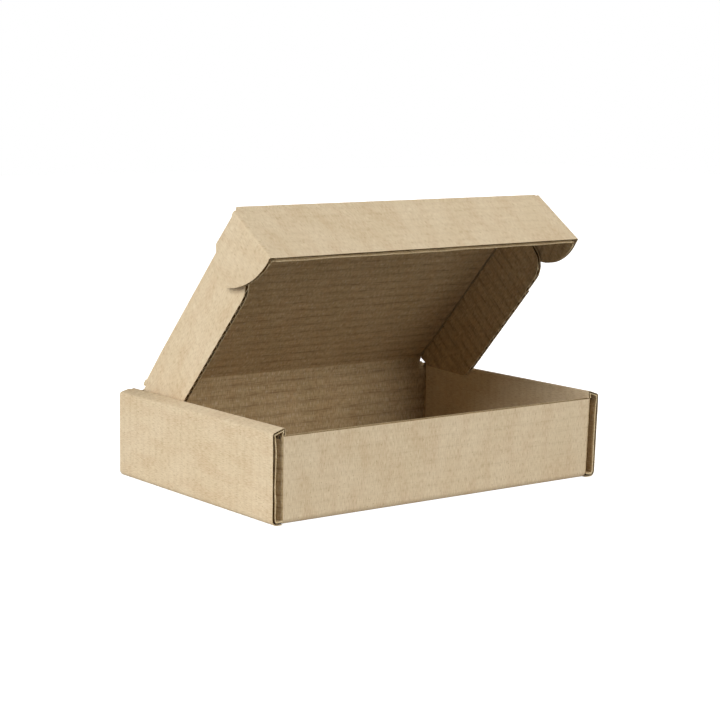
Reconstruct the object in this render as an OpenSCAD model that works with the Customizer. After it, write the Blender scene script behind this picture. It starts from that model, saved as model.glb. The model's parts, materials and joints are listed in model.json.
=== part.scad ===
// Corrugated mailer box with roll-over side walls and a tuck-in lid.
// The tray stands on z = 0, its front is at -Y, and the lid is drawn open as it rests.

/* [Box] */
// Width across the side walls
box_w = 230; // [190:1:320]
// Depth from the front edges to the back edges of the side walls
box_d = 153; // [130:1:220]
// Thickness of the corrugated board
board_t = 2.6; // [2:0.1:3.2]
// Inside radius of a fold along a crease
fold_r = 0.5; // [0.3:0.1:0.8]

/* [Tray] */
// Height of the outer top fold of the side walls
side_h = 48.4; // [47.5:0.1:70]
// Rise of the rolled top from its outer fold to its inner fold
roll_rise = 2.7; // [1.5:0.1:3.5]
// Height of the front wall
front_h = 46.4; // [36:0.1:47]
// How far the front wall stands behind the front edges of the side walls
front_recess = 0.4; // [0:0.1:2]
// How far the rear wall stands before the back edges of the side walls
rear_recess = 1; // [0:0.1:3]
// Air between the layers of a side wall
layer_gap = 0.1; // [0.1:0.05:0.6]
// Rounding of the back top corners of the side walls
rear_corner_r = 4; // [1:0.5:8]

/* [Corner flaps] */
// Length of the corner flaps that stand inside the side walls
corner_flap_l = 70; // [30:1:72]
// Inside radius of the bend from a wall into its corner flap
corner_r = 1.8; // [0.5:0.1:2.5]
// How much lower a corner flap is than its wall
corner_drop = 1.5; // [1:0.1:6]
// Width of the slits that part a wall from the side walls' floor edge
slit_w = 0.4; // [0.2:0.1:1]
// Height of the rear wall beside the lid crease, under the relief notches
relief_h = 45; // [38:0.5:46]
// Rounding at the foot of the relief notches
relief_r = 2.5; // [1:0.5:3]

/* [Locking tabs] */
// Width of the locking tabs under the inner side walls
tab_w = 26; // [12:1:40]
// Distance between the two tabs of a side, centre to centre
tab_pitch = 74; // [50:1:90]
// Air around a tab in its floor slot
tab_gap = 0.3; // [0.2:0.1:0.8]

/* [Lid] */
// Angle of the lid from shut, as it rests
lid_open = 46.85; // [20:1:90]
// Air between the shut lid and the inner top fold
lid_seat_gap = 0.3; // [0.3:0.1:1]
// Air between the shut lid's tuck flap and the front wall
tuck_gap = 0.3; // [0.3:0.1:2]
// Air across a crease between two panels that fold
fold_gap = 0.3; // [0.3:0.1:0.5]

/* [Tuck flap and ears] */
// Height of the tuck flap, from the top of the lid
tuck_h = 44.4; // [36:0.1:46]
// Angle that the tuck flap springs out past square, as it rests
tuck_spring = 10; // [0:1:20]
// Angle that the tuck flap folds in past square as the lid shuts
tuck_in = 17.2; // [10:0.2:25]
// Depth of the slanted corners at the top of the tuck flap
tuck_chamfer = 4.3; // [2:0.1:8]
// Air between an ear and the inner side wall
ear_gap = 0.3; // [0.3:0.1:2]
// Length of an ear, back from the face of the tuck flap
ear_l = 40; // [24:0.5:50]
// Depth of an ear's back corner under the top of the lid
ear_tip_h = 17.3; // [14:0.1:24]
// Bulge of an ear's curved lower edge
ear_bulge = 5.2; // [2:0.1:8]

/* [Dust flaps] */
// Depth of the dust flaps, from the top of the lid
dust_h = 38; // [24:0.5:44]
// Air between a dust flap and the ear beside it
dust_gap = 1.6; // [0.5:0.1:4]
// Distance from the lid crease to a dust flap's back end
dust_start = 3; // [2.5:0.5:20]
// Run of the slanted back edge of a dust flap
dust_slant = 28; // [10:1:45]
// Distance from the tuck flap's face back to a dust flap's front end
dust_setback = 18; // [8:1:40]
// Rounding of a dust flap's front corner
dust_r = 9; // [3:0.5:12]

/* [Hidden] */

$fn = 48;
kraft = [0.76, 0.66, 0.5];
kraft_inside = [0.66, 0.55, 0.4];
bend_steps = 6;   // flats in each bend of the board
eps = 0.01;

half_w = box_w/2;
half_d = box_d/2;
outer_r = fold_r + board_t;
far = box_w + box_d;   // longer than anything that is cut

// Faces of the layers, from the outside in
flap_face_x = half_w - board_t - layer_gap;
inner_x = half_w - 3*board_t - 2*layer_gap;
front_y = -half_d + front_recess;
rear_y = half_d - rear_recess;
bend_x = flap_face_x - corner_r - board_t;

// Crease axes, at the middle of the board
hinge_y = rear_y - board_t/2;
hinge_z = side_h + roll_rise + lid_seat_gap + board_t/2;
lid_l = hinge_y - (front_y + board_t) - tuck_gap;
tuck_s = lid_l - board_t/2;
ear_x = inner_x - ear_gap - board_t/2;
dust_face_x = ear_x - board_t/2 - dust_gap;

// Distance from a crease axis at which a board clears the one it folds past square by this angle
function root_cut(past) = (board_t/2 + fold_gap + board_t/2*sin(past))/cos(past);

// Points and headings along a board's outer face; a leg is [length, turn to the left after it, inside radius]
function stations(legs, p = [0, 0], h = 0, i = 0) =
    i == len(legs) ? [] :
    let (leg = legs[i],
         q = p + leg[0]*[cos(h), sin(h)],
         c = q + (leg[2] + board_t)*[-sin(h), cos(h)],
         turned = h + leg[1],
         bend = leg[1] == 0 ? [] : [for (k = [1:bend_steps]) let (a = h + leg[1]*k/bend_steps)
             [c + (leg[2] + board_t)*[sin(a), -cos(a)], a]],
         next = leg[1] == 0 ? q : bend[bend_steps - 1][0])
    concat(i == 0 ? [[p, h]] : [], [[q, h]], bend, stations(legs, next, turned, i + 1));

// Outline of a bent board, its thickness to the left of its outer face
function board_outline(legs, p, h) =
    let (s = stations(legs, p, h))
    concat([for (a = s) a[0]],
           [for (k = [len(s) - 1:-1:0]) s[k][0] + board_t*[-sin(s[k][1]), cos(s[k][1])]]);

// Points on an arc that goes from a to b and stands out by bulge at its middle
function bulged(a, b, bulge, steps = 12) =
    let (chord = norm(b - a),
         r = (chord*chord/4 + bulge*bulge)/(2*bulge),
         along = (b - a)/chord,
         side = [-along[1], along[0]],
         c = (a + b)/2 + side*(bulge - r),
         half = asin(chord/2/r))
    [for (k = [0:steps]) let (q = -half + 2*half*k/steps) c + r*(sin(q)*along + cos(q)*side)];

// Points on a rounded corner at p, between the directions to its neighbours a and b
function rounded(a, p, b, r, steps = 6) =
    let (da = (a - p)/norm(a - p),
         db = (b - p)/norm(b - p),
         half = acos(da*db)/2,
         mid = (da + db)/norm(da + db),
         c = p + mid*r/sin(half),
         start = p + da*r/tan(half) - c,
         finish = p + db*r/tan(half) - c,
         sweep = 180 - 2*half)
    [for (k = [0:steps]) c + (sin(sweep*(1 - k/steps))*start + sin(sweep*k/steps)*finish)/sin(sweep)];

// A prism along Y, from an outline in X and Z
module along_y(y0, y1) {
    translate([0, y1, 0])
        rotate([90, 0, 0])
            linear_extrude(y1 - y0)
                children();
}

// A prism along X, from an outline in Y and Z
module along_x(x0, x1) {
    translate([x0, 0, 0])
        rotate([90, 0, 90])
            linear_extrude(x1 - x0)
                children();
}

module both_sides() {
    children();
    mirror([1, 0, 0])
        children();
}

// Side wall: the floor's edge, the outer wall, the rolled top and the inner wall, as one bent board
module side_profile() {
    roll_w = half_w - inner_x;
    slope = atan(roll_rise/roll_w);
    first = outer_r*tan(45 - slope/2);
    second = outer_r*tan(45 + slope/2);
    legs = [
        [half_w - bend_x - outer_r, 90, fold_r],
        [side_h - outer_r - first, 90 - slope, fold_r],
        [norm([roll_w, roll_rise]) - first - second, 90 + slope, fold_r],
        [side_h + roll_rise - second - board_t - layer_gap, 0, 0]
    ];
    polygon(board_outline(legs, [bend_x, 0], 0));
}

// Space that the inner wall leaves free between y0 and y1, up to height top
module inner_wall_cut(y0, y1, top) {
    translate([inner_x - board_t, y0, board_t + layer_gap/2])
        cube([2*board_t + layer_gap/2, y1 - y0, top - board_t - layer_gap/2]);
}

module tab_places() {
    for (side = [-1, 1])
        translate([inner_x, side*tab_pitch/2, 0])
            children();
}

module side_wall() {
    front_end = front_y + board_t + layer_gap;
    rear_end = rear_y - board_t - layer_gap;
    difference() {
        along_y(-half_d, half_d)
            side_profile();
        inner_wall_cut(-half_d - 1, front_end, front_h + layer_gap);
        inner_wall_cut(rear_end, half_d + 1, far);
        // Rounded back corner of the wall's top
        translate([inner_x - board_t, half_d - rear_corner_r, side_h + roll_rise - rear_corner_r])
            difference() {
                cube([far, 2*rear_corner_r, 2*rear_corner_r]);
                rotate([0, 90, 0])
                    cylinder(r = rear_corner_r, h = far);
            }
        // Slits beside the front and rear walls
        for (y = [-half_d - 1, rear_y - outer_r - 1])
            translate([bend_x - eps, y, -1])
                cube([slit_w + eps, half_d + 1 - rear_y + outer_r + 1, board_t + 2]);
    }
    tab_places()
        translate([0, -tab_w/2, tab_gap])
            cube([board_t, tab_w, 2*board_t]);
}

// Front wall, floor and rear wall as one bent board
module long_profile() {
    legs = [
        [front_h - outer_r, 90, fold_r],
        [rear_y - front_y - 2*outer_r, 90, fold_r],
        [hinge_z - outer_r, 0, 0]
    ];
    polygon(board_outline(legs, [front_y, front_h], -90));
}

module relief_notch() {
    dust_edge = dust_face_x + fold_gap;
    along_y(rear_y - 2*board_t, rear_y + board_t) {
        translate([dust_edge, relief_h + relief_r])
            square([far, far]);
        translate([dust_edge + relief_r, relief_h])
            square([far, far]);
        translate([dust_edge + relief_r, relief_h + relief_r])
            circle(relief_r);
    }
}

// Corner flap that turns back from a wall's end at height 0 to top, its wall's face on y = 0
module corner_flap(top) {
    legs = [
        [eps, 90, corner_r],
        [corner_flap_l - corner_r - board_t, 0, 0]
    ];
    base = board_t + layer_gap;
    translate([bend_x - eps, 0, base])
        difference() {
            linear_extrude(top - base)
                polygon(board_outline(legs, [0, 0], 0));
            translate([-board_t, corner_r + board_t, top - base - corner_drop])
                cube([4*board_t + corner_r, far, far]);
        }
}

module tray() {
    color(kraft)
        difference() {
            union() {
                difference() {
                    along_x(-bend_x, bend_x)
                        long_profile();
                    both_sides()
                        relief_notch();
                }
                // Bead of the lid crease on the rear wall
                translate([-dust_face_x, hinge_y, hinge_z])
                    rotate([0, 90, 0])
                        cylinder(d = board_t, h = 2*dust_face_x);
                both_sides() {
                    side_wall();
                    translate([0, front_y, 0])
                        corner_flap(front_h);
                    translate([0, rear_y, 0])
                        mirror([0, 1, 0])
                            corner_flap(relief_h);
                }
            }
            both_sides()
                tab_slots();
        }
}

// Floor slots around the locking tabs
module tab_slots() {
    tab_places()
        difference() {
            translate([-tab_gap, -tab_w/2 - tab_gap, -1])
                cube([board_t + 2*tab_gap, tab_w + 2*tab_gap, board_t + 1 + layer_gap/2]);
            translate([0, -tab_w/2, -2])
                cube([board_t, tab_w, board_t + 4]);
        }
}

// Lid frame: the crease on the X axis, the shut lid along -Y
module lid_frame() {
    translate([0, hinge_y, hinge_z])
        rotate([-lid_open, 0, 0])
            children();
}

// Tuck flap frame: its crease on the X axis, the square flap along -Z
module tuck_frame() {
    lid_frame()
        translate([0, -tuck_s, 0])
            rotate([-tuck_spring, 0, 0])
                children();
}

module lid() {
    root = root_cut(0);
    color(kraft_inside)
        lid_frame() {
            translate([-dust_face_x, -tuck_s, -board_t/2])
                cube([2*dust_face_x, tuck_s - root, board_t]);
            translate([-dust_face_x, -tuck_s, 0])
                rotate([0, 90, 0])
                    cylinder(d = board_t, h = 2*dust_face_x);
        }
}

module tuck_flap() {
    root = root_cut(tuck_in);
    low = tuck_h - board_t/2;
    corner = max(root + fold_gap, tuck_chamfer - board_t/2);
    color(kraft)
        tuck_frame() {
            along_y(-board_t/2, board_t/2)
                polygon([
                    [-dust_face_x, -root], [dust_face_x, -root],
                    [ear_x, -corner], [ear_x, -low],
                    [-ear_x, -low], [-ear_x, -corner]
                ]);
            both_sides()
                translate([ear_x, 0, -low])
                    cylinder(d = board_t, h = low - corner);
        }
}

// Ear outline: y back from the tuck flap's middle, z from the crease axis
module ear_outline() {
    t2 = board_t/2;
    root = t2 + fold_gap;
    top = max(root_cut(tuck_in) + 2*fold_gap, tuck_chamfer - t2);
    back = ear_l - t2;
    knee = [0.58*back, -0.3*top];
    heel = [back, t2 - ear_tip_h];
    polygon(concat(
        [[root, -top + fold_gap], knee],
        rounded(knee, [back, heel[1] + 4], heel, 2),
        bulged(heel, [root, t2 - tuck_h + 0.6], ear_bulge)
    ));
}

module ear() {
    tuck_frame()
        along_x(ear_x - board_t/2, ear_x + board_t/2)
            ear_outline();
}

module left_ear() {
    color(kraft)
        mirror([1, 0, 0])
            ear();
}

module right_ear() {
    color(kraft)
        ear();
}

// Dust flap outline: y towards the hinge, z from the lid's middle
module dust_outline() {
    t2 = board_t/2;
    top = -t2 - fold_gap;
    low = t2 - dust_h;
    front = -(lid_l - dust_setback);
    back = -dust_start;
    shoulder = [back, top - 8];
    slant = [back - dust_slant, low];
    nose = [front + 3, low];
    polygon(concat(
        [[back, top], shoulder],
        rounded(shoulder, slant, nose, 6),
        rounded(slant, nose, [front, top], dust_r),
        [[front, top]]
    ));
}

module dust_flap() {
    lid_frame()
        along_x(dust_face_x - board_t, dust_face_x)
            dust_outline();
}

module left_dust_flap() {
    color(kraft_inside)
        mirror([1, 0, 0])
            dust_flap();
}

module right_dust_flap() {
    color(kraft_inside)
        dust_flap();
}

tray();
lid();
tuck_flap();
left_ear();
right_ear();
left_dust_flap();
right_dust_flap();
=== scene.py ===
"""Corrugated mailer box of folded kraft board, with its liners, flutes and creases, in a pale studio."""
import json
import math

import bmesh
import bpy
import numpy as np
from mathutils import Matrix, Vector


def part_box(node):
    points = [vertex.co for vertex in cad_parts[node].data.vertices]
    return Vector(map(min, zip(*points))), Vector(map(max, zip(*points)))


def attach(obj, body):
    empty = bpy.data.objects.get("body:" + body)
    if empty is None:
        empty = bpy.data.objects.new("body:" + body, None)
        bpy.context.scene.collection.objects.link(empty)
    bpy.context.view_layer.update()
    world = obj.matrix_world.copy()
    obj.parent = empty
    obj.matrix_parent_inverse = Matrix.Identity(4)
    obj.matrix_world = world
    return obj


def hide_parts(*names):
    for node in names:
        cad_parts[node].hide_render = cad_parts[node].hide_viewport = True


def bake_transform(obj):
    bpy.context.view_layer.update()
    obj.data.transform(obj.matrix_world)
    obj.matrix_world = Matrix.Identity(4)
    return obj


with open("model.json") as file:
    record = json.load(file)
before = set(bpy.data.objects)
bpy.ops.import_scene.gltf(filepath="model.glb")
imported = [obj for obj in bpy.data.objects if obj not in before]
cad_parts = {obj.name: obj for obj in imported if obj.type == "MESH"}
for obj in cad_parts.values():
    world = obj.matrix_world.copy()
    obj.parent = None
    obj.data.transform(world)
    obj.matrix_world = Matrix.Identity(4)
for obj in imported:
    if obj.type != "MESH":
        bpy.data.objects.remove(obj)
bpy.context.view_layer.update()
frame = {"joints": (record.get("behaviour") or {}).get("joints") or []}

MM = 0.001
SIDES = ((-1, "left"), (1, "right"))

# Board, in millimetres: two liners on a wavy sheet of fluting paper
BOARD = 2.6
HALF_BOARD = BOARD / 2
LINER = 0.3
MEDIUM = 0.3              # the fluting paper
GLUED = 0.02              # how far a flute tip sinks into a liner
FLUTE_PITCH = 6.8
WASHBOARD = 0.05          # how far a liner dips between two flute tips
WAVE = HALF_BOARD - LINER - MEDIUM / 2 + GLUED      # half the height of a flute
CUT_WANDER = 0.08         # how far a cut end of the board strays from its line
LINER_WANDER = 0.05       # the same, for the sides of a liner
FOLD_R = 0.5              # inside radius of a plain fold
OUTER_R = FOLD_R + BOARD
LAYER_GAP = 0.1           # between two layers of board that lie together
BEND_STEPS = 6


def in_mm(place):
    """A place in the frame's metres, in millimetres."""
    return [value / MM for value in place]


def joint_mm(name):
    """Where a joint's axis runs, in millimetres."""
    joint = next(j for j in frame["joints"] if j["name"] == name)
    return in_mm(joint["pos_m"])


# Tray, from the frame's own box and crease axes
TRAY_LOW, TRAY_HIGH = (in_mm(corner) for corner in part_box("tray"))
HALF_W, HALF_D = TRAY_HIGH[0], TRAY_HIGH[1]
SIDE_H = 48.4             # outer side wall, up to its first fold
ROLL_RISE = 2.7           # how much higher the second fold is
FRONT_H = 46.4
FRONT_RECESS = 0.4        # the side walls' raw edges stand out this far beyond the front wall
REAR_RECESS = 1           # and this far beyond the rear wall
FRONT_Y = TRAY_LOW[1] + FRONT_RECESS
REAR_Y = HALF_D - REAR_RECESS
INNER_X = HALF_W - 3 * BOARD - 2 * LAYER_GAP
CORNER_R = 1.8            # room for a corner flap's bend, beside its own thickness
BEND_X = HALF_W - BOARD - LAYER_GAP - CORNER_R - BOARD
FLAP_L = 70
CORNER_DROP = 1.5         # a corner flap is this much lower than its wall
SLIT = 0.4                # width of the cut between two panels
REAR_GAP = 1.6            # between the rear wall and a side's inner wall
REAR_CORNER_R = 4
NOTCH_H = 48.4            # foot of the notches in the rear wall's top corners
RELIEF_R = 2.5
LEFT_TRIM = 3.2           # off the rear wall's left top corner, beside its notch
TAB_W = 26
TAB_PITCH = 74
TAB_GAP = 0.3
TAB_ROOT = 0.3            # how far a locking tab's board runs up into the inner wall

# Lid, tuck flap, ears and dust flaps
HINGE_Y, HINGE_Z = joint_mm("lid_hinge")[1:]
LID_OPEN = math.radians(46.85)        # slope of the lid
TUCK_SPRING = math.radians(10)        # how far the tuck flap stands off square to it
TUCK_AXIS = joint_mm("tuck_fold")
TUCK_S = math.hypot(TUCK_AXIS[1] - HINGE_Y, TUCK_AXIS[2] - HINGE_Z)   # from one crease to the other
TUCK_LOW = 42.7           # free edge, from the crease axis
EAR_X = joint_mm("right_ear_fold")[0]
DUST_X = joint_mm("right_dust_fold")[0] + BOARD       # outer face of a dust flap
DUST_LOW = 38             # free edge of a dust flap, below the lid
DUST_REAR = {-1: -2, 1: 0.6}      # its rear end by side, along the lid from the lid's crease
DUST_FRONT = 129.4
DUST_NECK = 11.5          # how far down its rear edge is upright
DUST_HEEL = 24            # where its slanted rear edge meets the free edge
LEFT_FLARE = 3            # how far the left one's rear corner stands out
TUCK_CORNER = 101.2       # left end of the tuck flap's crease, drawn in by its ear
EAR_TOP = 0.6             # upper edge of an ear, below the tuck flap's crease
EAR_FRONT_TOP = {-1: 4.4, 1: 0.8}     # the same, by side, where the ear meets the tuck flap
EAR_START = 104           # where the ears begin to lie outside the dust flaps, along the lid
EAR_BACK = 38.7           # how far back an ear reaches
CREASE_OUT = 1.6          # reach of a crease's outer liner on either side of its axis
CREASE_IN = 3.2           # and of its inner liner
DUST_CREASE = 1.0
DUST_GROOVE = 0.6         # where the inner liner is split at a dust flap's crease

# How the folded board sits off true
LID_SHIFT = 2.6, 2.9      # to the right, at the left and right ends of the lid crease
FRONT_SHIFT = 1.5, 2.0    # the same, at the tuck crease
TUCK_SHIFT = 0.5          # the same, of the tuck flap on the lid
TUCK_STRETCH = 1.018      # how much wider the tuck flap springs at its crease
TUCK_NARROW = 0.00022     # and how much it narrows, a millimetre down
TUCK_TAPER = -0.0001      # how much deeper it is to the right, a millimetre across
LID_YAW = 0.014           # turn of the lid in its own plane
LID_TWIST = 0.006         # and how much its right side hangs, a millimetre across
LID_EASE = 30             # length of lid over which both set in
LEAN = 1.5                # foot of the right wall, inwards
LEAN_H = 45               # height where that lean ends
SPLAY = {-1: 2.3, 1: 1.3}     # how far the dust flaps' free edges stand out, by side

FINISHES = ["outside", "inside", "cut", "medium"]
OUTSIDE, INSIDE, CUT, FLUTE = range(4)
random = np.random.default_rng(21)


def smooth(t):
    """Eases from 0 to 1."""
    t = np.clip(t, 0, 1)
    return t * t * (3 - 2 * t)


def uneven(at, amount, spacing=3.0):
    """Smooth random offsets along a cut edge."""
    knots = np.arange(at.min() - spacing, at.max() + 2 * spacing, spacing)
    return np.interp(at, knots, random.uniform(-amount, amount, len(knots)))


def spaced(low, high, step, *breaks):
    """Places from low to high, about step apart, with these breaks among them."""
    count = max(2, int(math.ceil((high - low) / step)) + 1)
    inside = [b for b in breaks if low < b < high]
    places = np.unique(np.concatenate([np.linspace(low, high, count), inside]))
    far_enough = [places[0]]
    for place in places[1:]:
        if place - far_enough[-1] > 0.01:
            far_enough.append(place)
    return np.array(far_enough)


def fold_path(start, heading, legs):
    """Distance, point and heading along a board's outer face.

    A leg is its length, the turn to the left at its end, and the inside radius of that turn.
    """
    point, angle = np.array(start, float), math.radians(heading)
    distance, stations = 0.0, [(0.0, *point, angle)]
    for length, turn, radius in legs:
        point = point + length * np.array([math.cos(angle), math.sin(angle)])
        distance += length
        if length > 0:
            stations.append((distance, *point, angle))
        if turn == 0:
            continue
        outer, turn = radius + BOARD, math.radians(turn)
        centre = point + outer * np.array([-math.sin(angle), math.cos(angle)])
        for step in range(1, BEND_STEPS + 1):
            a = angle + turn * step / BEND_STEPS
            point = centre + outer * np.array([math.sin(a), -math.cos(a)])
            stations.append((distance + outer * turn * step / BEND_STEPS, *point, a))
        distance += outer * turn
        angle += turn
    return np.array(stations).T


def off_path(path, at, depth):
    """Points at these distances along a path, this deep in the board."""
    a = np.interp(at, path[0], path[3])
    across = np.interp(at, path[0], path[1]) - depth * np.sin(a)
    up = np.interp(at, path[0], path[2]) + depth * np.cos(a)
    return across, up


def crushed(at, middle, width, share=0.5):
    """How much of the board's thickness is left near a crushed crease."""
    return 1 - share * np.exp(-((at - middle) / width) ** 2)


class Piece:
    """Closed slabs of paper that become one mesh, with their place on the flat sheet."""

    def __init__(self, name):
        self.name = name
        self.points, self.flat, self.faces, self.finishes = [], [], [], []
        self.count = 0

    def slab(self, low, high, flat, finish):
        """A slab between two grids of points, cut at its edges and welded where rows run out."""
        rows, columns = low.shape[:2]
        points = np.concatenate([low.reshape(-1, 3), high.reshape(-1, 3)])
        at = np.arange(rows * columns).reshape(rows, columns)
        over = at + rows * columns
        quads = [
            (at[:-1, :-1], at[1:, :-1], at[1:, 1:], at[:-1, 1:], finish),
            (over[:-1, :-1], over[:-1, 1:], over[1:, 1:], over[1:, :-1], finish),
        ]
        for edge, back in ((at[0], False), (at[-1], True), (at[:, 0], True), (at[:, -1], False)):
            a, b = (edge[:-1], edge[1:]) if not back else (edge[1:], edge[:-1])
            quads.append((a, b, b + rows * columns, a + rows * columns, CUT))
        keys = np.round(points * 1000).astype(np.int64)
        first, inverse = np.unique(keys, axis=0, return_index=True, return_inverse=True)[1:]
        inverse = inverse.ravel()
        for a, b, c, d, face_finish in quads:
            stack = inverse[np.stack([a.ravel(), b.ravel(), c.ravel(), d.ravel()], 1)]
            for face in stack.tolist():
                kept = [v for i, v in enumerate(face) if v != face[i - 1]]
                if len(set(kept)) > 2:
                    self.faces.append([v + self.count for v in kept])
                    self.finishes.append(face_finish)
        flats = np.concatenate([flat.reshape(-1, 2)] * 2)
        self.points.append(points[first])
        self.flat.append(flats[first])
        self.count += len(first)

    def build(self):
        """One object from all the slabs, with sharp paper edges and smooth faces."""
        mesh = bpy.data.meshes.new(self.name)
        mesh.from_pydata((np.concatenate(self.points) * MM).tolist(), [], self.faces)
        mesh.polygons.foreach_set("material_index", self.finishes)
        corner = np.empty(len(mesh.loops), int)
        mesh.loops.foreach_get("vertex_index", corner)
        sheet = mesh.uv_layers.new(name="flat_sheet")
        sheet.data.foreach_set("uv", (np.concatenate(self.flat)[corner] * MM).ravel())
        work = bmesh.new()
        work.from_mesh(mesh)
        bmesh.ops.recalc_face_normals(work, faces=work.faces)
        work.to_mesh(mesh)
        work.free()
        mesh.shade_smooth()
        mesh.set_sharp_from_angle(angle=math.radians(35))
        made = bpy.data.objects.new(self.name, mesh)
        bpy.context.scene.collection.objects.link(made)
        for finish in FINISHES:
            mesh.materials.append(materials[finish])
        return made


def grid(rows, low, high, columns, cut_first=False, cut_last=False):
    """Sheet places (u, v): one row per v, cut to its outline, with uneven cut ends."""
    v = np.repeat(rows[:, None], len(columns), 1)
    u = np.clip(columns[None, :], low[:, None], high[:, None])
    if cut_first:
        v[0] += uneven(u[0], CUT_WANDER)
    if cut_last:
        v[-1] += uneven(u[-1], CUT_WANDER)
    return u, v


def liner(piece, place, u, v, top, finish, gap=0, fray=0):
    """One liner, at depth 0 or BOARD; gap moves it into the board, and fray thickens it on that side."""
    wave = np.cos(2 * math.pi * v / FLUTE_PITCH) * (-1 if top else 1)
    dip = WASHBOARD * (0.5 + 0.5 * wave) + gap
    faces = (dip, LINER + dip + fray) if top else (BOARD - dip, BOARD - LINER - dip - fray)
    low, high = (place(u, v, depth) for depth in faces)
    piece.slab(low, high, np.stack([u, v], -1), finish)


def medium(piece, place, u, v):
    """The fluting paper: one wave for every flute, from liner to liner."""
    middle = HALF_BOARD + WAVE * np.cos(2 * math.pi * v / FLUTE_PITCH)
    low, high = (place(u, v, middle + side * MEDIUM / 2) for side in (-1, 1))
    piece.slab(low, high, np.stack([u, v], -1), FLUTE)


def near_cuts(u, v, edges, low, high, spacing, reach):
    """A random amount along cut edges that run with the flutes, fading away from them."""
    total = np.zeros(u.shape)
    for edge in edges:
        knots = np.arange(u.min() - spacing, u.max() + 2 * spacing, spacing)
        wander = np.interp(u, knots, random.uniform(low, high, len(knots)))
        total += wander * np.exp(-np.abs(v - edge) / reach)
    return total


def panel(piece, place, outline, rows, columns, cut=(False, False), inner_rows=None, inner_outline=None,
          inset=0.5, outer=OUTSIDE):
    """A stretch of board, from its first row to its last: two liners, and flutes that stop short by inset.

    outline(v) gives the lowest and highest u of a row, and cut says which end rows are cut edges.
    There the outer liner stays crisp, and the inner one is pressed in and frayed.
    """
    step = FLUTE_PITCH / 6
    inner_rows = inner_rows or rows
    inner_outline = inner_outline or outline
    for top, span, edge in ((True, rows, outline), (False, inner_rows, inner_outline)):
        at = spaced(span[0], span[1], step, *span[2:])
        low, high = edge(at)
        u, v = grid(at, low + uneven(at, LINER_WANDER), high + uneven(at, LINER_WANDER), columns, *cut)
        ends = [span[i] for i in (0, 1) if cut[i]]
        if top:
            gap = 0
            fray = near_cuts(u, v, ends, -0.05, 0.1, 1.6, 0.8)
        else:
            gap = near_cuts(u, v, ends, -0.1, 0.5, 9, 2) + near_cuts(u, v, ends, -0.1, 0.2, 2, 1)
            fray = near_cuts(u, v, ends, 0.1, 0.8, 3, 0.8)
        liner(piece, place, u, v, top, outer if top else INSIDE, gap, fray)
    first, last = inner_rows[0] + inset * 1.6 * cut[0], inner_rows[1] - inset * 1.6 * cut[1]
    at = spaced(first, last, FLUTE_PITCH / 10, *inner_rows[2:])
    low, high = inner_outline(at)
    low, high = low + inset + uneven(at, CUT_WANDER), high - inset + uneven(at, CUT_WANDER)
    u, v = grid(at, low, np.maximum(high, low + 0.1), columns)
    medium(piece, place, u, v)


def along_outline(points):
    """A function v -> u from outline points (v, u)."""
    v, u = np.array(points, float).T
    return lambda at: np.interp(at, v, u)


def rounded(a, p, b, r, steps=6):
    """Points on a rounded corner at p, between its neighbours a and b."""
    a, p, b = (np.array(q, float) for q in (a, p, b))
    da, db = (a - p) / np.linalg.norm(a - p), (b - p) / np.linalg.norm(b - p)
    half = math.acos(float(da @ db)) / 2
    centre = p + (da + db) / np.linalg.norm(da + db) * r / math.sin(half)
    start, finish = p + da * r / math.tan(half) - centre, p + db * r / math.tan(half) - centre
    sweep = math.pi - 2 * half
    return [
        centre + (math.sin(sweep * (1 - k)) * start + math.sin(sweep * k) * finish) / math.sin(sweep)
        for k in np.linspace(0, 1, steps + 1)
    ]


def bulged(a, b, bulge, steps=12):
    """Points on an arc from a to b that stands out by bulge at its middle."""
    a, b = np.array(a, float), np.array(b, float)
    chord = np.linalg.norm(b - a)
    r = (chord * chord / 4 + bulge * bulge) / (2 * bulge)
    along = (b - a) / chord
    side = np.array([-along[1], along[0]])
    centre = (a + b) / 2 + side * (bulge - r)
    half = math.asin(chord / 2 / r)
    angles = np.linspace(-half, half, steps + 1)
    return [centre + r * (math.sin(q) * along + math.cos(q) * side) for q in angles]


# Tray

WALL_PATH = fold_path((FRONT_Y, FRONT_H), -90, [
    (FRONT_H - OUTER_R, 90, FOLD_R),
    (REAR_Y - FRONT_Y - 2 * OUTER_R, 90, FOLD_R),
    (HINGE_Z - OUTER_R, 0, 0),
])
WALL_L = WALL_PATH[0][-1]
FLOOR_V = FRONT_H - OUTER_R + OUTER_R * math.pi / 2 - (FRONT_Y + OUTER_R)


def lean(x, z):
    """The right side's foot stands in and its top is true; this eases in from x 60 to x 105."""
    return -LEAN * np.clip(1 - z / LEAN_H, 0, 1) * smooth((x - 60) / 45)


def hinge_shift(x, beyond):
    """Sideways shift of the board near the lid crease, beyond its axis along the sheet."""
    return smooth((beyond + 9) / 12) * lid_shift(x, np.maximum(beyond, 0))


def lid_shift(x, s):
    """Sideways shift of the lid, this far along from its crease."""
    across = np.clip(x / DUST_X / 2 + 0.5, 0, 1)
    rear, front = ((1 - across) * left + across * right for left, right in (LID_SHIFT, FRONT_SHIFT))
    return rear + (front - rear) * np.clip(s / TUCK_S, 0, 1)


def wall_place(u, v, w):
    """Front wall, floor and rear wall: across, along the sheet from the front's top, and into the board."""
    y, z = off_path(WALL_PATH, v, w)
    x = u + lean(u, z) + np.where(v > WALL_L / 2, hinge_shift(u, v - WALL_L), 0)
    return np.stack([x, y, z], -1)


def slot_ends():
    """Both ends of both tab slots on a side, from the middle of the floor."""
    return [s * TAB_PITCH / 2 + e * (TAB_W / 2 + TAB_GAP) for s in (-1, 1) for e in (-1, 1)]


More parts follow.
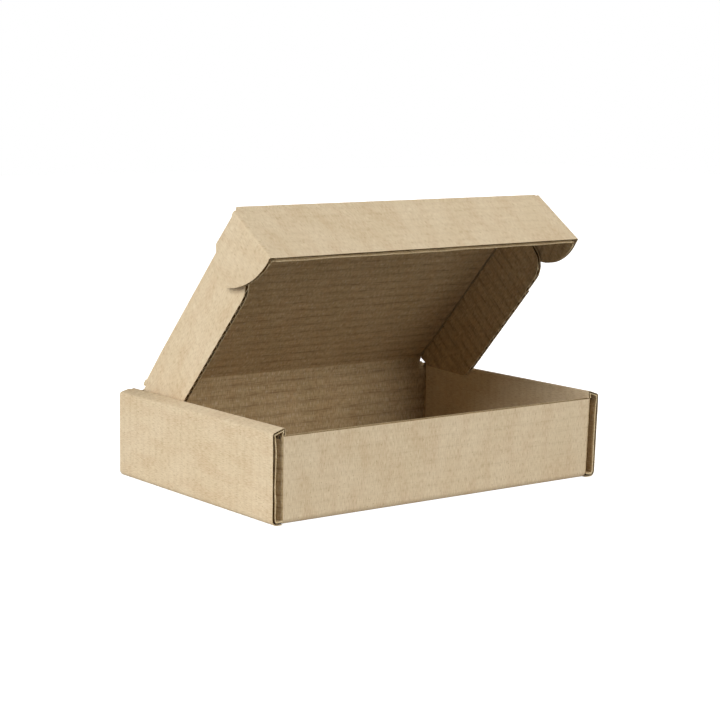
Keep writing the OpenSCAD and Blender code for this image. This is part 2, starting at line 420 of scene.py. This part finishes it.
def wall_outline(v):
    """Sides of those three, with the tab slots in the floor and the notches at the rear wall's top."""
    half = np.full(len(v), BEND_X)
    y = v - FLOOR_V
    in_slot = np.abs(np.abs(y) - TAB_PITCH / 2) < TAB_W / 2 + TAB_GAP
    on_floor = (y > FRONT_Y + OUTER_R) & (y < REAR_Y - OUTER_R)
    half[in_slot & on_floor] = INNER_X - TAB_GAP
    rise = v - (WALL_L - HINGE_Z) - NOTCH_H
    curve = np.clip(RELIEF_R - rise, 0, RELIEF_R)
    notch = DUST_X + TAB_GAP + RELIEF_R - np.sqrt(RELIEF_R ** 2 - curve ** 2)
    half = np.where((rise > 0) & (v > WALL_L / 2), notch, half)
    trim = np.where((rise > 0.2) & (v > WALL_L / 2), LEFT_TRIM, 0)
    return trim - half, half


def long_walls(piece):
    """Front wall, floor and rear wall in one stretch, with rows wherever their outline jumps."""
    slots = [at + d + FLOOR_V for at in slot_ends() for d in (-0.02, 0.02)]
    foot = WALL_L - HINGE_Z + NOTCH_H
    notch = [foot + RELIEF_R * t for t in (0, 0.01, 0.1, 0.25, 0.5, 0.75, 1)]
    breaks = [*WALL_PATH[0][1:-1], *slots, *notch]
    columns = np.unique(np.concatenate([np.linspace(-104, 104, 18), [-BEND_X, BEND_X]]))
    panel(piece, wall_place, wall_outline, (0.4, WALL_L - CREASE_OUT, *breaks), columns, (True, False),
          inner_rows=(0, WALL_L - CREASE_IN, *breaks))


# A side wall goes up, over its sloping top in two folds, and down again to the floor
SLOPE = math.atan(ROLL_RISE / (HALF_W - INNER_X))
FIRST_R, SECOND_R = 1.7, 1.0      # outside radii of the two folds
FIRST = FIRST_R * math.tan(math.pi / 4 - SLOPE / 2)
SECOND = SECOND_R * math.tan(math.pi / 4 + SLOPE / 2)
DOWN = SIDE_H + ROLL_RISE - SECOND - BOARD - LAYER_GAP
SIDE_PATH = fold_path((BEND_X, 0), 0, [
    (HALF_W - BEND_X - OUTER_R, 90, FOLD_R),
    (SIDE_H - OUTER_R - FIRST, 90 - math.degrees(SLOPE), FIRST_R - BOARD),
    (math.hypot(HALF_W - INNER_X, ROLL_RISE) - FIRST - SECOND, 90 + math.degrees(SLOPE), SECOND_R - BOARD),
    (DOWN, 0, 0),
])
SIDE_L = SIDE_PATH[0][-1]
INNER_TOP = SIDE_L - DOWN
FIRST_FOLD, SECOND_FOLD = SIDE_PATH[0][2 * BEND_STEPS - 1], SIDE_PATH[0][3 * BEND_STEPS]
FOLD_WIDTH = 1.6          # reach of the crushed board beside these two folds


def side_place(side):
    """A side wall: along its path from the floor's edge, from front to rear, and into the board."""
    def place(u, v, w):
        thickness = crushed(u, FIRST_FOLD, FOLD_WIDTH, 0.45) * crushed(u, SECOND_FOLD, FOLD_WIDTH)
        x, z = off_path(SIDE_PATH, u, w * thickness)
        foot = lean(side * x, z) * (1 - smooth((u - INNER_TOP + 6) / 6))
        x = np.where(u > SIDE_L, INNER_X + w, x)
        z = np.where(u > SIDE_L, z - (u - SIDE_L), z)
        return np.stack([side * x + foot, v, z], -1)
    return place


SIDE_COLUMNS = np.unique(np.concatenate([SIDE_PATH[0], [11, 18, 26, 35, 44, 70, 80, 90, 100]]))


def side_end_outline(v):
    """The rolled top's rear end: a rounded corner, and no inner wall behind the rear wall."""
    path_s, path_x, path_z = SIDE_PATH[:3]
    top = int(np.argmax(path_z))
    inwards = np.interp(-(INNER_X + BOARD), -path_x[BEND_STEPS:top + 1], path_s[BEND_STEPS:top + 1])
    rise = np.clip(v - (HALF_D - REAR_CORNER_R), 0, REAR_CORNER_R)
    height = SIDE_H + ROLL_RISE - REAR_CORNER_R + np.sqrt(REAR_CORNER_R ** 2 - rise ** 2)
    upwards = np.interp(height, path_z[:top + 1], path_s[:top + 1])
    return np.full(len(v), SLIT), np.minimum(inwards, upwards)


def side_outline(v):
    """The whole side wall, slotted for its own tabs, and with its inner wall cut short at the rear."""
    low = np.where(v < FRONT_Y + OUTER_R + 1, SLIT, np.where(v > REAR_Y - OUTER_R - 1, SLIT, 0.0))
    in_slot = np.abs(np.abs(v) - TAB_PITCH / 2) < TAB_W / 2 + TAB_GAP
    low = np.where(in_slot, INNER_X + BOARD + TAB_GAP - BEND_X, low)
    return low, np.where(v > REAR_Y - BOARD - REAR_GAP, INNER_TOP, SIDE_L)


def side_front_outline(v):
    """In front of the front wall, the inner wall hangs only down to the front wall's top."""
    top = INNER_TOP + SIDE_H + ROLL_RISE - SECOND - FRONT_H - LAYER_GAP
    return np.full(len(v), SLIT), np.full(len(v), top)


def tab_outline(v):
    """A locking tab, from just above the floor to just short of its underside."""
    return np.full(len(v), SIDE_L - TAB_ROOT), np.full(len(v), SIDE_L + BOARD + LAYER_GAP - TAB_GAP)


def side_wall(piece, side):
    """A side wall with its two locking tabs."""
    place = side_place(side)
    front, rear = FRONT_Y + BOARD + LAYER_GAP, REAR_Y - BOARD - LAYER_GAP
    panel(piece, place, side_front_outline, (-HALF_D, front), SIDE_COLUMNS, (True, False))
    steps = [*slot_ends(), REAR_Y - BOARD - REAR_GAP]
    breaks = [at + d for at in steps for d in (-0.02, 0.02)]
    panel(piece, place, side_outline, (front, rear, *breaks), SIDE_COLUMNS)
    curve = [HALF_D - REAR_CORNER_R * t for t in (0.8, 0.6, 0.4, 0.25, 0.12, 0.05)]
    panel(piece, place, side_end_outline, (rear, HALF_D, *curve), SIDE_COLUMNS, (False, True))
    columns = np.array([SIDE_L - TAB_ROOT, SIDE_L, SIDE_L + BOARD])
    for middle in (-TAB_PITCH / 2, TAB_PITCH / 2):
        ends = (middle - TAB_W / 2, middle + TAB_W / 2)
        panel(piece, place, tab_outline, ends, columns, (True, True), inset=0.2)


# A corner flap turns most of the way in a tight fold, runs slanted, and straightens in a slack bend
TIGHT_TURN, TIGHT_R = 62, 1.5
SLANT_L = 4.56
SLACK_TURN, SLACK_R = 90 - TIGHT_TURN, 8
FLAP_PATH = fold_path((BEND_X, 0), 0, [
    (0, TIGHT_TURN, TIGHT_R - BOARD),
    (SLANT_L, SLACK_TURN, SLACK_R - BOARD),
    (FLAP_L - CORNER_R - BOARD - SLACK_R, 0, 0),
])
FLAP_BEND = TIGHT_R * math.radians(TIGHT_TURN)


def corner_flap(piece, side, rear):
    """Flap that turns in beside a side wall, from the end of the front or rear wall."""
    start = REAR_Y if rear else FRONT_Y
    top = NOTCH_H - SLIT if rear else FRONT_H
    turn = -1 if rear else 1

    def height(v):
        return v - (WALL_L - HINGE_Z) if rear else FRONT_H - v

    def place(u, v, w):
        x, inwards = off_path(FLAP_PATH, u, w * crushed(u, FLAP_BEND / 2, 0.9))
        z = height(v)
        return np.stack([side * x + lean(side * x, z), start + turn * inwards, z], -1)

    def outline(v):
        high = np.where(height(v) > top - CORNER_DROP, FLAP_BEND, FLAP_PATH[0][-1])
        return np.zeros(len(v)), high

    base = BOARD + LAYER_GAP
    span = (WALL_L - HINGE_Z + base, WALL_L - HINGE_Z + top) if rear else (FRONT_H - top, FRONT_H - base)
    drop = span[1] - CORNER_DROP if rear else span[0] + CORNER_DROP
    columns = np.unique(np.concatenate([FLAP_PATH[0], np.linspace(FLAP_BEND, FLAP_PATH[0][-1], 6)]))
    # The flap's outer liner takes the darker inside liner's colour: painted shade in the groove between a
    # side wall's raw end and the front or rear wall.
    panel(piece, place, outline, (*span, drop - 0.01, drop + 0.01), columns, (not rear, rear), outer=INSIDE)


def tray():
    """Everything that stays put: floor, walls, rolled side walls and the corner flaps inside them."""
    piece = Piece("tray_board")
    long_walls(piece)
    for side in (-1, 1):
        side_wall(piece, side)
        for rear in (False, True):
            corner_flap(piece, side, rear)
    made = piece.build()
    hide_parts("tray")
    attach(made, "tray")


# Lid and its flaps

def lid_point(x, s, n):
    """A point of the lid: across, along from its crease, and up from the middle of its board."""
    turned = smooth(s / LID_EASE)
    s, n = s + LID_YAW * x * turned, n - LID_TWIST * x * turned
    y = HINGE_Y - s * math.cos(LID_OPEN) + n * math.sin(LID_OPEN)
    z = HINGE_Z + s * math.sin(LID_OPEN) + n * math.cos(LID_OPEN)
    x, y, z = np.broadcast_arrays(x, y, z)
    return np.stack([x, y, z], -1)


def tuck_point(x, back, up):
    """A point of the tuck flap or an ear: across, back from its middle, and up from its crease."""
    stretch = TUCK_STRETCH + TUCK_NARROW * np.minimum(up, 0)
    up = up * (1 + TUCK_TAPER * x)
    along = back * math.cos(TUCK_SPRING) + up * math.sin(TUCK_SPRING)
    n = -back * math.sin(TUCK_SPRING) + up * math.cos(TUCK_SPRING)
    return lid_point(x * stretch + TUCK_SHIFT, TUCK_S - along, n)


def lid_place(u, v, w):
    """The lid: across, along from its crease, and into the board from its outer face."""
    shift = np.where(v < 3, hinge_shift(u, v), lid_shift(u, v))
    return lid_point(u + shift, v, HALF_BOARD - w)


def lid_outline(taken):
    """Sides of the lid, less what the dust flaps' creases take; its front corners are drawn in by 1 mm."""
    def outline(v):
        has_flap = (v > DUST_REAR[1]) & (v < DUST_FRONT)
        half = np.where(has_flap, DUST_X - BOARD - taken, DUST_X - np.clip(v - TUCK_S + 6, 0, 4) / 4)
        return -half, half
    return outline


def lid():
    """The lid's panel, between its crease, the tuck flap's and those of the dust flaps."""
    piece = Piece("lid_panel")
    breaks = [at + d for at in (DUST_REAR[1], DUST_FRONT) for d in (-0.01, 0.01)]
    columns = np.linspace(-DUST_X, DUST_X, 20)
    panel(piece, lid_place, lid_outline(DUST_CREASE), (CREASE_OUT, TUCK_S - CREASE_OUT, *breaks), columns,
          inner_rows=(CREASE_IN, TUCK_S - CREASE_IN, *breaks),
          inner_outline=lid_outline(DUST_GROOVE), inset=0.15)
    made = piece.build()
    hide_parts("lid")
    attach(made, "lid")


def splay(side, s, d):
    """How far a dust flap stands out, this far along and down, kept inside the ears and side walls."""
    room = np.where(s > EAR_START, EAR_X - HALF_BOARD - DUST_X, INNER_X - DUST_X) - LAYER_GAP
    room = room - side * lid_shift(side * DUST_X, s)
    flare = LEFT_FLARE * smooth((3 - s) / 4) * smooth((d - BOARD) / 8) if side < 0 else 0
    return np.minimum(SPLAY[side], np.maximum(room, 0)) * d / DUST_LOW + flare


def dust_outline_points(side):
    """Rear, free and front edge of a dust flap, as (distance along the lid, depth below it)."""
    rear, neck, heel = (DUST_REAR[side], BOARD), (DUST_REAR[side] + 2, DUST_NECK), (DUST_HEEL, DUST_LOW)
    nose, front = (DUST_FRONT - 4, DUST_LOW), (DUST_FRONT, BOARD + 0.3)
    return [rear, *rounded(rear, neck, heel, 4), *rounded(neck, heel, nose, 7),
            *rounded(heel, nose, front, 12), front]


def dust_flap(side, name):
    """A flap that hangs from the lid's side, splayed a little."""
    piece = Piece(name + "_board")
    points = dust_outline_points(side)
    edge = along_outline(points)

    def place(u, v, w):
        x = DUST_X - w + splay(side, v, u)
        return lid_point(side * x + lid_shift(side * x, v), v, HALF_BOARD - u)

    def outer(v):
        return np.full(len(v), BOARD + DUST_CREASE), np.maximum(edge(v), BOARD + DUST_CREASE + 0.1)

    def inner(v):
        return np.full(len(v), BOARD + DUST_GROOVE), np.maximum(edge(v), BOARD + DUST_GROOVE + 0.1)

    span = (DUST_REAR[side], DUST_FRONT, *(p[0] for p in points))
    columns = np.array([BOARD + DUST_GROOVE, BOARD + DUST_CREASE, 8, 14, 20, 26, 32, DUST_LOW + 0.2])
    panel(piece, place, outer, span, columns, (True, True), inner_outline=inner, inset=0.05)
    made = piece.build()
    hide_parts(name)
    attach(made, name)


def tuck_place(u, v, w):
    """The tuck flap: across, down from its crease, and into the board."""
    return tuck_point(u, w - HALF_BOARD, -v)


def tuck_outline(reach):
    """The ear creases at both sides; the left one pulls in the corner above it."""
    return lambda v: (np.maximum(reach - EAR_X, -TUCK_CORNER - v), np.full(len(v), EAR_X - reach))


def tuck_flap():
    """Its free edge was cut askew: the inner liner hangs 0.6 mm lower than the outer one."""
    piece = Piece("tuck_flap_board")
    columns = np.linspace(-EAR_X, EAR_X, 20)
    corner = EAR_X - CREASE_OUT - TUCK_CORNER
    panel(piece, tuck_place, tuck_outline(CREASE_OUT), (CREASE_OUT, TUCK_LOW, corner), columns,
          (False, True), inner_rows=(CREASE_IN, TUCK_LOW + 0.6),
          inner_outline=tuck_outline(CREASE_IN), inset=0.9)
    made = piece.build()
    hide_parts("tuck_flap")
    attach(made, "tuck_flap")


def ear_outline_points(side):
    """Upper and lower edge of an ear, as (depth below the crease, distance back)."""
    knee, shoulder, heel = (0.58 * EAR_BACK, -EAR_TOP), (EAR_BACK, -12), (EAR_BACK, -16)
    upper = [knee, *rounded(knee, shoulder, heel, 2)]
    if side < 0:
        lower = bulged(heel, (CREASE_OUT, -42.5), 5.2)
    else:      # the right ear's rear corner is cut off straight
        lower = [(33.5, -20.5), *bulged((28.5, -25.5), (CREASE_OUT, -42.6), 5.0)]
    return [(-z, y) for y, z in upper + lower]


def ear(side, name):
    """An ear; its upper edge slants from the knee, 22.4 mm back, down to the tuck flap."""
    piece = Piece(name + "_board")
    points = ear_outline_points(side)
    edge = along_outline(points)
    front = along_outline([(EAR_TOP, 22.4), (EAR_FRONT_TOP[side], CREASE_OUT), (50, CREASE_OUT)])

    def place(u, v, w):
        return tuck_point(side * (EAR_X + HALF_BOARD - w), u, -v)

    def outer(v):
        return front(v), np.maximum(edge(v), front(v) + 0.1)

    def inner(v):
        low = np.maximum(front(v), CREASE_IN)
        return low, np.maximum(edge(v), low + 0.1)

    span = (EAR_TOP, points[-1][0] - 0.1, *(p[0] for p in points[:-1]), EAR_FRONT_TOP[side])
    columns = np.array([CREASE_OUT, CREASE_IN, 8, 14, 20, 26, 32, 38.9])
    panel(piece, place, outer, span, columns, (True, True), inner_outline=inner, inset=0.05)
    made = piece.build()
    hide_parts(name)
    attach(made, name)


# Creases: liners that bend between two bodies

SQUARE = math.pi / 2
# Top of an ear's crease: on the tuck flap, at its axis and on the ear, below the tuck flap's crease
EAR_CREASE_TOPS = {-1: (2.6, 3.8, EAR_FRONT_TOP[-1]), 1: (0.3, -0.2, EAR_FRONT_TOP[1])}


def bend_line(offset, bend, reach):
    """Points (a, b) beside a crease axis at (0, 0): the first panel comes along a, the second bends off."""
    ahead = np.array([math.cos(bend), -math.sin(bend)])
    out = np.array([math.sin(bend), math.cos(bend)])
    start, finish = np.array([-reach, offset]), reach * ahead + offset * out
    if offset > 0:
        turn = [offset * np.array([math.sin(a), math.cos(a)]) for a in np.linspace(0, bend, 9)]
    else:
        corner = np.array([offset * math.tan(bend / 2), offset])
        a, b = corner + [-0.5, 0], corner + 0.5 * ahead
        turn = [(1 - t) ** 2 * a + 2 * t * (1 - t) * corner + t * t * b for t in np.linspace(0, 1, 9)]
    return np.array([start, *turn, finish])


def crease(name, bodies, spot, bend, reach, faces, rows, finish, slot, top_edge=None):
    """A liner across a moving crease.

    spot(a, b, e, path) places it, and faces are its offsets from the crease's axis. top_edge slants
    its first row, as places along the path, in shares of reach, and the rows' starts there.
    """
    piece = Piece(name)
    lines = [bend_line(face, bend, reach) for face in faces]
    steps = np.linalg.norm(np.diff(lines[0], axis=0), axis=1)
    path = np.concatenate([[0], np.cumsum(steps)]) - np.sum(steps) / 2
    rows = np.repeat(rows[:, None], len(path), 1)
    if top_edge:
        starts = np.interp(path / reach, *top_edge)[None, :]
        rows = np.maximum(rows, starts + 0.01 * np.arange(len(rows))[:, None])
    low, high = (
        spot(*(np.repeat(line[None, :, i], len(rows), 0) for i in (0, 1)), rows, path[None, :])
        for line in lines
    )
    flat = np.stack([rows, np.broadcast_to(path, rows.shape)], -1)
    piece.slab(low, high, flat, finish)
    made = piece.build()
    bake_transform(made)


def hinge_spot(a, b, e, path):
    """From the rear wall's top to the lid, which is skewed a little."""
    x = e + hinge_shift(e, path)
    bend = SQUARE - LID_OPEN
    on_wall = np.stack([x, HINGE_Y + b, HINGE_Z + a], -1)
    on_lid = lid_point(x, a * math.cos(bend) - b * math.sin(bend), a * math.sin(bend) + b * math.cos(bend))
    turned = np.broadcast_to(smooth(path / CREASE_OUT / 2 + 0.5), x.shape)[..., None]
    return (1 - turned) * on_wall + turned * on_lid


def tuck_spot(a, b, e, path):
    """The crease's ends slant outwards from the lid to the tuck flap."""
    half = np.where(e < 0, TUCK_CORNER + CREASE_OUT, EAR_X - CREASE_OUT)
    on_tuck = e / (DUST_X - 1) * half * TUCK_STRETCH + TUCK_SHIFT
    turned = smooth(path / CREASE_OUT / 2 + 0.5)
    return lid_point((1 - turned) * (e + lid_shift(e, TUCK_S)) + turned * on_tuck, TUCK_S + a, b)


def ear_spot(side):
    """Straight down the end of the tuck flap."""
    return lambda a, b, e, path: tuck_point(side * (EAR_X + a), -b, -e)


def dust_spot(side):
    """Along the side of the lid, easing into the splay of the dust flap."""
    def spot(a, b, e, path):
        n = b - HALF_BOARD
        x = DUST_X - BOARD + a + splay(side, e, np.maximum(HALF_BOARD - n, 0)) * smooth((a + 1) / 2)
        return lid_point(side * x + lid_shift(side * x, e), e, n)
    return spot


def crease_liners(label, reach, faces, ear_faces, finish, slot):
    """The outer or the inner liner of the lid's, the tuck flap's and both ears' creases."""
    paper = (finish, slot)
    across = np.linspace(1 - DUST_X, DUST_X - 1, 24)
    crease("lid_crease_" + label, ("tray", "lid"), hinge_spot, SQUARE - LID_OPEN, reach,
           faces, across, *paper)
    crease("tuck_crease_" + label, ("lid", "tuck_flap"), tuck_spot, SQUARE - TUCK_SPRING, reach,
           faces, across, *paper)
    for side, name in SIDES:
        tops = EAR_CREASE_TOPS[side]
        down = np.linspace(min(tops), TUCK_LOW - 0.2, 20)
        crease(f"{name}_ear_crease_{label}", ("tuck_flap", name + "_ear"), ear_spot(side), SQUARE, reach,
               ear_faces, down, *paper, top_edge=((-1, 0, 1), tops))


def creases():
    """The outer liner bends around each axis and the inner one is pressed into the corner.

    On the lid's and the tuck flap's creases the outer piece takes in the crushed flutes too.
    """
    outer, inner = (HALF_BOARD, LINER - HALF_BOARD), (-HALF_BOARD, LINER - HALF_BOARD)
    ear_outer = HALF_BOARD, HALF_BOARD - LINER
    crease_liners("outer", CREASE_OUT, outer, ear_outer, OUTSIDE, "kraft_outside")
    crease_liners("inner", CREASE_IN, inner, inner, INSIDE, "kraft_inside")
    along = np.linspace(DUST_REAR[1], DUST_FRONT, 30)
    for side, name in SIDES:
        crease(name + "_dust_crease", ("lid", name + "_dust_flap"), dust_spot(side), SQUARE, DUST_CREASE,
               (BOARD, BOARD - LINER), along, OUTSIDE, "kraft_inside")


# Materials

WARM_PULP = "#b98f62"
PALE_FIBRE = "#f1e4cb"
PAPER_GRAIN = 0.05        # height of the fibres on a face, in millimetres


def linear(hex_colour):
    """Linear colour of an sRGB hex value."""
    parts = [int(hex_colour[i:i + 2], 16) / 255 for i in (1, 3, 5)]
    return (*(c / 12.92 if c <= 0.04045 else ((c + 0.055) / 1.055) ** 2.4 for c in parts), 1)


def node(tree, kind, inputs=None, **settings):
    """A shader node with its settings; each input is a value, or a socket to link from."""
    made = tree.nodes.new(kind)
    for key, value in settings.items():
        setattr(made, key, value)
    for key, value in (inputs or {}).items():
        if isinstance(value, bpy.types.NodeSocket):
            tree.links.new(value, made.inputs[key])
        else:
            made.inputs[key].default_value = value
    return made


def new_material(name):
    """An empty material and its node tree."""
    material = bpy.data.materials.new(name)
    material.use_nodes = True
    material.node_tree.nodes.clear()
    return material, material.node_tree


def stretched(tree, sheet, grain_u, grain_v, **inputs):
    """Noise on the flat sheet whose grain is grain_u by grain_v millimetres."""
    scale = (1 / (grain_u * MM), 1 / (grain_v * MM), 1)
    mapped = node(tree, "ShaderNodeVectorMath", {0: sheet, 1: scale}, operation="MULTIPLY")
    return node(tree, "ShaderNodeTexNoise", {"Vector": mapped.outputs[0], "Scale": 1, **inputs}).outputs[0]


def ranged(tree, value, low, high, to_low, to_high):
    """A value's range from low to high, turned into one from to_low to to_high."""
    return node(tree, "ShaderNodeMapRange", {
        "Value": value, "From Min": low, "From Max": high, "To Min": to_low, "To Max": to_high,
    }).outputs[0]


def tinted(tree, colour, factor, tint):
    """A colour, mixed with this hex tint where the factor says so."""
    return node(tree, "ShaderNodeMix", {0: factor, 6: colour, 7: linear(tint)}, data_type="RGBA").outputs[2]


def combined(tree, operation, first, second):
    """Two values, or a value and a number, put through this operation."""
    return node(tree, "ShaderNodeMath", {0: first, 1: second}, operation=operation).outputs[0]


def finish_paper(tree, colour, height, roughness):
    """Uncoated paper: matte, with almost no gloss, and a grain of fibres that catches side light."""
    bump = node(tree, "ShaderNodeBump", {"Height": height, "Strength": 1, "Distance": PAPER_GRAIN * MM})
    paper = node(tree, "ShaderNodeBsdfPrincipled", {"Base Color": colour, "Normal": bump.outputs[0]})
    paper.inputs["Roughness"].default_value = roughness
    paper.inputs["Specular IOR Level"].default_value = 0.2
    node(tree, "ShaderNodeOutputMaterial", {"Surface": paper.outputs[0]})


def kraft(name, pale, brown, bark, marks):
    """Unbleached kraft liner, rolled smooth: clouded by its pulp, with fibres, bark specks and flute marks.

    The fibres run across the flutes. A real one is about 0.03 mm wide, too fine to show, so they are
    drawn 0.55 mm wide and 3.2 mm long. Clouds of browner and warmer pulp are 9 to 40 mm across.
    """
    material, tree = new_material(name)
    sheet = node(tree, "ShaderNodeUVMap", uv_map="flat_sheet").outputs[0]
    clouds = stretched(tree, sheet, 26, 40, Detail=2)
    warm = stretched(tree, sheet, 9, 30, Detail=2)
    mottle = stretched(tree, sheet, 1.6, 3.0, Detail=4)
    fibres = stretched(tree, sheet, 0.55, 3.2, Detail=3)
    specks = stretched(tree, sheet, 0.8, 1.2, Detail=0)
    colour = linear(pale)
    for factor, tint in (
            (ranged(tree, clouds, 0.35, 0.65, 0, 0.5), brown),
            (ranged(tree, warm, 0.45, 0.65, 0, 0.18), WARM_PULP),
            (ranged(tree, mottle, 0.42, 0.7, 0, marks), bark),
            (ranged(tree, fibres, 0.52, 0.74, 0, 0.42), bark),
            (ranged(tree, fibres, 0.46, 0.28, 0, 0.4), PALE_FIBRE),
            (ranged(tree, specks, 0.76, 0.8, 0, 0.5), bark),
            (flute_marks(tree, sheet, marks), bark)):
        colour = tinted(tree, colour, factor, tint)
    finish_paper(tree, colour, combined(tree, "ADD", mottle, fibres), 0.9)
    return material


def flute_marks(tree, sheet, strength):
    """Washboard bands of painted shade over the flutes, with broken dark streaks along the flute tips."""
    across = node(tree, "ShaderNodeSeparateXYZ", {0: sheet}).outputs[1]
    turns = combined(tree, "MULTIPLY", across, 2 * math.pi / (FLUTE_PITCH * MM))
    phase = node(tree, "ShaderNodeMath", {0: turns}, operation="COSINE").outputs[0]
    # Soft bands at the flute pitch: painted shade of the liner's ripples over the flutes.
    bands = ranged(tree, phase, 0.6, -1, 0, 0.45 * strength)
    tips = ranged(tree, phase, -0.8, -1, 0, 1)
    broken = ranged(tree, stretched(tree, sheet, 11, 1.1, Detail=3), 0.47, 0.62, 0, strength)
    streaks = ranged(tree, stretched(tree, sheet, 15, 0.8, Detail=3), 0.5, 0.68, 0, 0.9 * strength)
    marks = combined(tree, "MULTIPLY", tips, broken)
    for more in (bands, streaks):
        marks = combined(tree, "ADD", marks, more)
    return combined(tree, "MINIMUM", marks, 0.9)


def torn_paper(name, pale, dark):
    """Cut or inner paper: rougher than a liner's face, ragged with tufts of fibre 0.7 mm across."""
    material, tree = new_material(name)
    place = node(tree, "ShaderNodeTexCoord").outputs["Object"]
    tufts = {"Vector": place, "Scale": 1 / (0.7 * MM), "Detail": 2}
    fibres = node(tree, "ShaderNodeTexNoise", tufts).outputs[0]
    colour = tinted(tree, linear(pale), ranged(tree, fibres, 0.35, 0.65, 0, 1), dark)
    finish_paper(tree, colour, fibres, 1.0)
    return material


# The outside is a paler, cleaner liner than the inside, whose flute marks show more; the inside liner's
# darker colours are partly painted shade for the box's interior, the lid's underside and the flaps' inner
# faces;
# die-cut edges are fresh pale fibre, and the fluting paper between the liners is dark recycled pulp
materials = {
    "outside": kraft("kraft_liner_outside", "#e2cfaf", "#d6c19d", "#a58860", 0.1),
    # the inside liner's colours are partly painted shade
    "inside": kraft("kraft_liner_inside", "#c6ad85", "#b49c72", "#7c6341", 0.38),
    "cut": torn_paper("cut_kraft_edge", "#e2cfa9", "#bfa679"),
    "medium": torn_paper("fluting_paper", "#7f5d2c", "#5b401e"),
}


# Studio

def floor():
    """Pale floor that reads as white to the camera but keeps the box's shadow."""
    half = 3.0
    mesh = bpy.data.meshes.new("floor")
    corners = [(-half, -half, 0), (half, -half, 0), (half, half, 0), (-half, half, 0)]
    mesh.from_pydata(corners, [], [(0, 1, 2, 3)])
    plane = bpy.data.objects.new("floor", mesh)
    plane.location.z = -0.0002
    bpy.context.scene.collection.objects.link(plane)
    material, tree = new_material("pale_floor")
    diffuse = node(tree, "ShaderNodeBsdfDiffuse", {"Color": linear("#c8c8c8")})
    white = node(tree, "ShaderNodeEmission", {"Color": (1, 1, 1, 1), "Strength": seen(tree, 1)})
    both = node(tree, "ShaderNodeAddShader", {0: diffuse.outputs[0], 1: white.outputs[0]})
    node(tree, "ShaderNodeOutputMaterial", {"Surface": both.outputs[0]})
    mesh.materials.append(material)


def seen(tree, strength):
    """This strength for the camera's rays and those that gloss or glass sends on, and none for others."""
    path = node(tree, "ShaderNodeLightPath")
    rays = [path.outputs[name] for name in ("Is Camera Ray", "Is Glossy Ray", "Is Transmission Ray")]
    most = combined(tree, "MAXIMUM", combined(tree, "MAXIMUM", rays[0], rays[1]), rays[2])
    return combined(tree, "MULTIPLY", most, strength)


def studio():
    """White surroundings that give a faint fill, a strong soft window at the left and one in front."""
    scene = bpy.context.scene
    scene.view_settings.view_transform = "Standard"
    world = bpy.data.worlds.new("studio")
    scene.world = world
    world.use_nodes = True
    tree = world.node_tree
    tree.nodes.clear()
    ambient = 0.1
    strength = combined(tree, "ADD", seen(tree, 1 - ambient), ambient)
    sky = node(tree, "ShaderNodeBackground", {"Color": (1, 1, 1, 1), "Strength": strength})
    node(tree, "ShaderNodeOutputWorld", {"Surface": sky.outputs[0]})
    for name, towards, energy, spread in (
            ("left_window", (-0.9, 0.15, 0.4), 2.58, 40),
            ("front_window", (0.39, -0.76, 0.5), 2.1, 50)):
        lamp = bpy.data.lights.new(name, "SUN")
        lamp.energy = energy
        lamp.angle = math.radians(spread)
        sun = bpy.data.objects.new(name, lamp)
        sun.rotation_euler = Vector(towards).to_track_quat("Z", "Y").to_euler()
        scene.collection.objects.link(sun)
    floor()


def camera():
    """The photograph's view: from the front left, a little above the lid's hinge."""
    azimuth, elevation, roll = (math.radians(a) for a in (-37.516, 8.427, 0.851))
    distance, target = 1086.06, Vector((-1.15, 0, 67.67))
    focal_px, frame_px = 1893.1, 720
    back = Vector((math.sin(azimuth) * math.cos(elevation), -math.cos(azimuth) * math.cos(elevation),
                   math.sin(elevation)))
    right = Vector((0, 0, 1)).cross(back).normalized()
    up = back.cross(right)
    right, up = (math.cos(roll) * right + math.sin(roll) * up, math.cos(roll) * up - math.sin(roll) * right)
    lens = bpy.data.cameras.new("camera")
    lens.sensor_width = 36
    lens.lens = focal_px / frame_px * lens.sensor_width
    view = bpy.data.objects.new("camera", lens)
    turn = Matrix((right, up, back)).transposed().to_4x4()
    view.matrix_world = Matrix.Translation((target + back * distance) * MM) @ turn
    bpy.context.scene.collection.objects.link(view)
    bpy.context.scene.camera = view


camera()
studio()
tray()
lid()
tuck_flap()
for side, name in SIDES:
    ear(side, name + "_ear")
    dust_flap(side, name + "_dust_flap")
creases()
